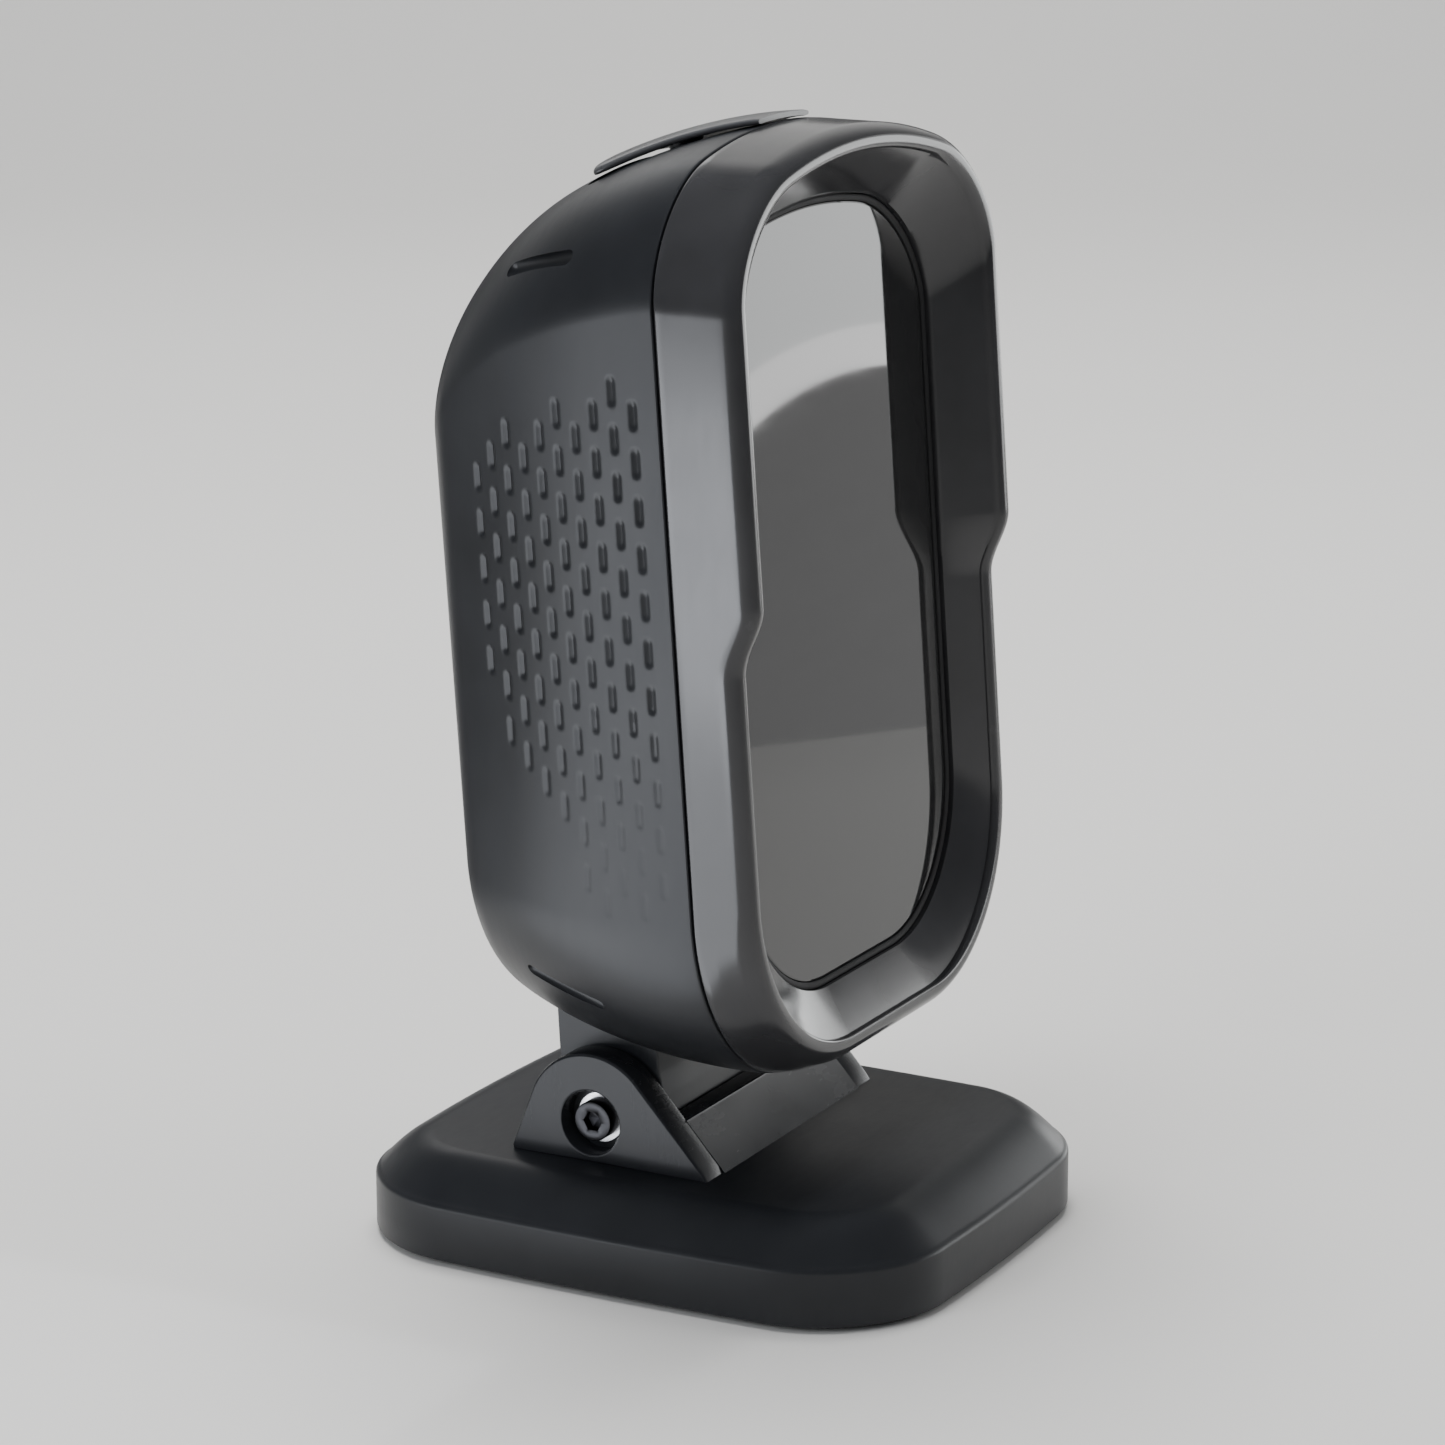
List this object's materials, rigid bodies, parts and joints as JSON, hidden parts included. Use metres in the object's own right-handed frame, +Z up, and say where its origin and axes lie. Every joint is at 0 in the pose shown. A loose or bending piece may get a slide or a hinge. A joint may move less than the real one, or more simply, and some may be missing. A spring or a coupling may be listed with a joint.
{
  "type": "presentation barcode scanner",
  "caption": "Hands-free desktop barcode scanner: a tall curved scan head with a deep-set window, tilting on a hinge bracket over a weighted base.",
  "frame": {"origin": "centre of the base's underside, on the surface it stands on", "axes": "+Z up; the scan window faces -Y; the head tilts about an axis along X"},
  "size_m": [0.0776, 0.0858, 0.1528],
  "materials": {
    "rubber": "matt moulded rubber",
    "inner_plastic": "plain black moulding",
    "textured_plastic": "fine spark-textured charcoal plastic",
    "bracket_plastic": "satin charcoal plastic with polished edges",
    "gloss_bezel": "smooth semi-gloss black plastic",
    "bar_plastic": "satin charcoal plastic",
    "window_tint": "dark tinted polished pane",
    "optic_glass": "coated lens glass",
    "led_lens": "clear and frosted lens plastic",
    "plated_steel": "zinc plated",
    "black_screw": "black oxide",
    "bronze": "machined brass and bronze",
    "gold_contact": "gold flash",
    "washer_plastic": "natural acetal",
    "circuit_board": "green solder mask",
    "chip_plastic": "moulded package",
    "ribbon_film": "white flat cable"
  },
  "bodies": {
    "base": {"foot_pad": "rubber", "base_plate": "inner_plastic", "ballast_plate": "plated_steel", "base_cover": "textured_plastic", "hinge_bracket": "bracket_plastic", "bracket_screws": "plated_steel", "pivot_bushes": "bronze"},
    "head": {"hinge_screw_left": "black_screw", "hinge_screw_right": "black_screw", "hinge_washers": "plated_steel", "friction_washers": "washer_plastic", "neck": "textured_plastic", "neck_inserts": "bronze", "neck_screws": "plated_steel", "rear_housing": "textured_plastic", "housing_screws": "black_screw", "front_bezel": "gloss_bezel", "scan_window": "window_tint", "window_gasket": "rubber", "light_baffle": "inner_plastic", "chassis": "inner_plastic", "led_board": "circuit_board", "led_emitters": "led_lens", "led_diffusers": "led_lens", "imager_board": "circuit_board", "image_sensor": "chip_plastic", "lens_barrel": "inner_plastic", "lens_glass": "optic_glass", "aimer_module": "bronze", "main_board": "circuit_board", "decoder_chip": "chip_plastic", "board_screws": "plated_steel", "buzzer": "inner_plastic", "ribbon_cable": "ribbon_film", "interface_jack": "inner_plastic", "jack_contacts": "gold_contact", "switch_board": "circuit_board", "tact_switch": "plated_steel"},
    "press_bar": {"press_bar": "bar_plastic"}
  },
  "joints": [
    {"name": "head_tilt", "type": "hinge", "parent": "base", "child": "head", "pos_m": [0, 0.0073, 0.0194], "axis": [1, 0, 0], "range_deg": [-20, 20]},
    {"name": "press_bar_rock", "type": "hinge", "parent": "head", "child": "press_bar", "pos_m": [0, -0.00866, 0.15244], "axis": [-1, 0, 0], "range_deg": [0, 3], "stiffness_Nm_per_rad": 0.3, "springref_deg": -6.02}
  ]
}
